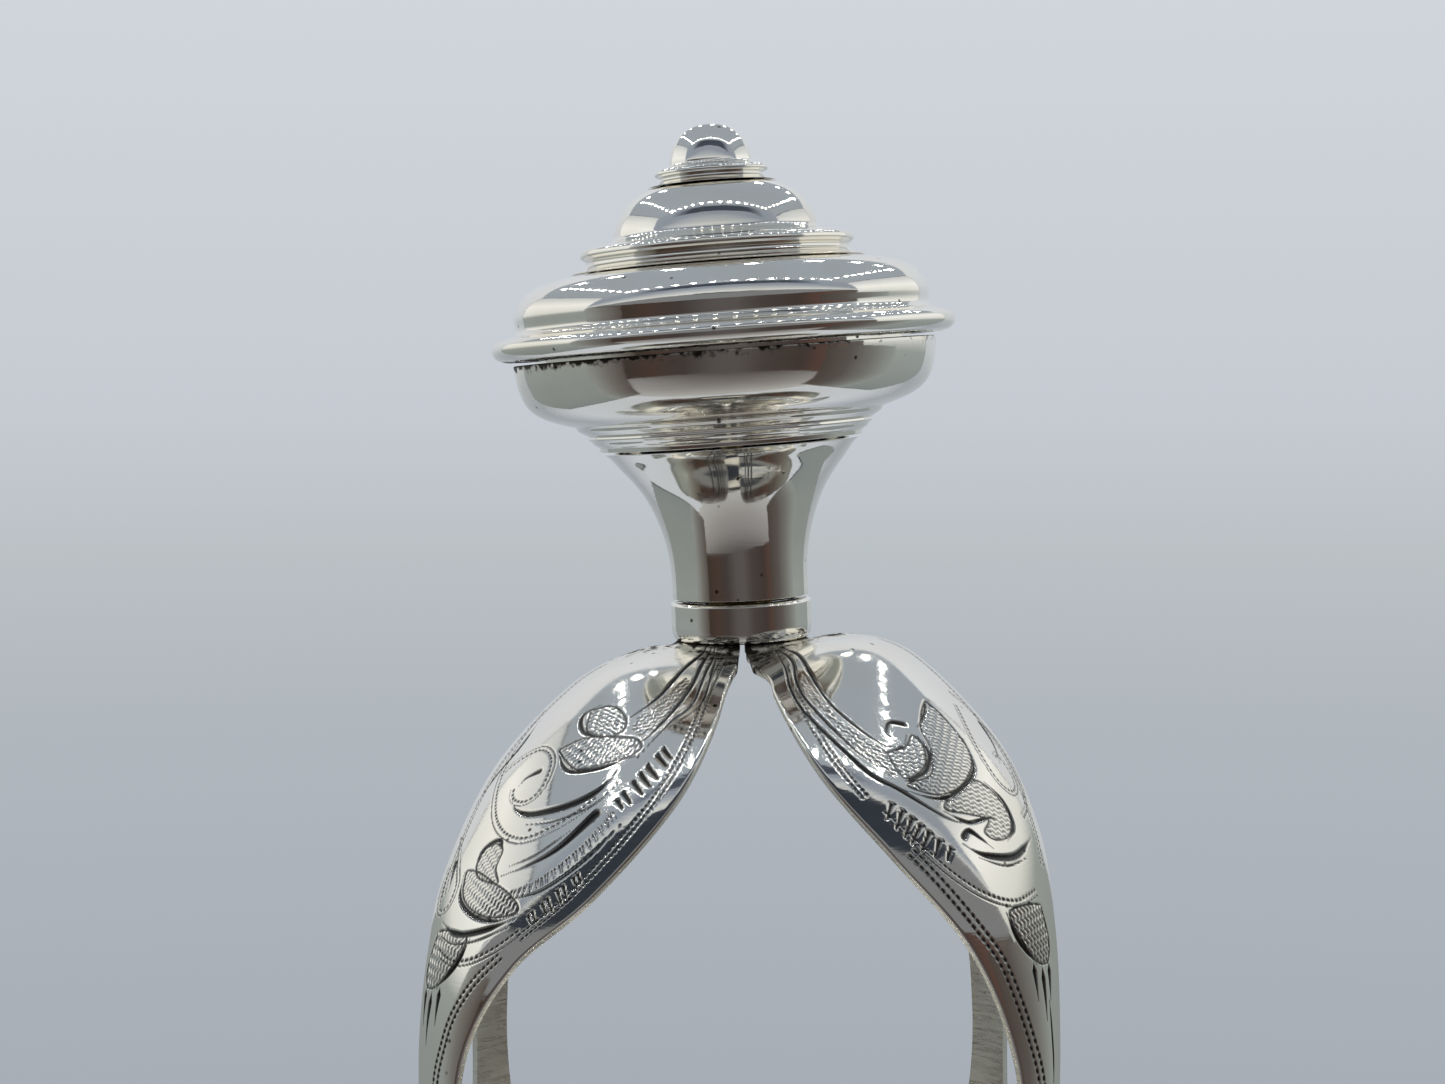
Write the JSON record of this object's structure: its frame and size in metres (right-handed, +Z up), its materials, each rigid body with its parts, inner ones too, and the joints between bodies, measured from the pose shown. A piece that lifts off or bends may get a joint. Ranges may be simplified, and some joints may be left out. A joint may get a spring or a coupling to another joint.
{
  "type": "ciborium",
  "caption": "Footed silver cup whose lift-off cover is an open crown of engraved leaf-shaped arches under a small lidded urn finial.",
  "frame": {"origin": "centre of the foot's underside, on the surface the vessel stands on", "axes": "+Z up along the vessel, -Y to the front, +X to the right; the arches stand on the diagonals"},
  "size_m": [0.108, 0.108, 0.304],
  "materials": {
    "polished_silver": "polished old silver with fine scratches and tarnish in the joints",
    "engraved_silver": "polished silver with bright-cut scrolls, oxidised dark in the cuts",
    "cup_silver": "polished silver outside, gilt inside",
    "brass": "dull turned brass"
  },
  "bodies": {
    "base": {"foot_rim_ring": "polished_silver", "foot_dome": "polished_silver", "foot_neck_ring": "polished_silver", "stem_lower": "polished_silver", "knop_lower_ring": "polished_silver", "knop": "polished_silver", "knop_upper_ring": "polished_silver", "stem_upper": "polished_silver", "tie_rod": "brass", "tie_washer": "brass", "tie_nut": "brass", "cup": "cup_silver", "cup_lip_ring": "polished_silver", "cup_boss": "polished_silver", "calyx": "engraved_silver"},
    "cover": {"cover_seat_ring": "polished_silver", "cover_plate": "polished_silver", "circlet_band": "engraved_silver", "circlet_base_wire": "polished_silver", "circlet_top_wire": "polished_silver", "arch_front_left": "engraved_silver", "arch_front_right": "engraved_silver", "arch_back_left": "engraved_silver", "arch_back_right": "engraved_silver", "rivet_front_left": "polished_silver", "rivet_front_right": "polished_silver", "rivet_back_left": "polished_silver", "rivet_back_right": "polished_silver", "crown_boss": "polished_silver", "finial_rod": "brass", "finial_nut": "brass", "finial_collar": "polished_silver", "finial_stem": "polished_silver", "finial_bowl": "polished_silver"},
    "finial_lid": {"lid_rim_ring": "polished_silver", "lid_lower_dome": "polished_silver", "lid_seat_ring": "polished_silver", "lid_middle_dome": "polished_silver", "lid_knob": "polished_silver"}
  },
  "joints": [
    {"name": "cover_lift", "type": "slide", "parent": "base", "child": "cover", "axis": [0, 0, 1], "range_m": [0, 0.06]},
    {"name": "finial_lid_lift", "type": "slide", "parent": "cover", "child": "finial_lid", "axis": [-0.075, 0, 0.9972], "range_m": [0, 0.03]}
  ]
}
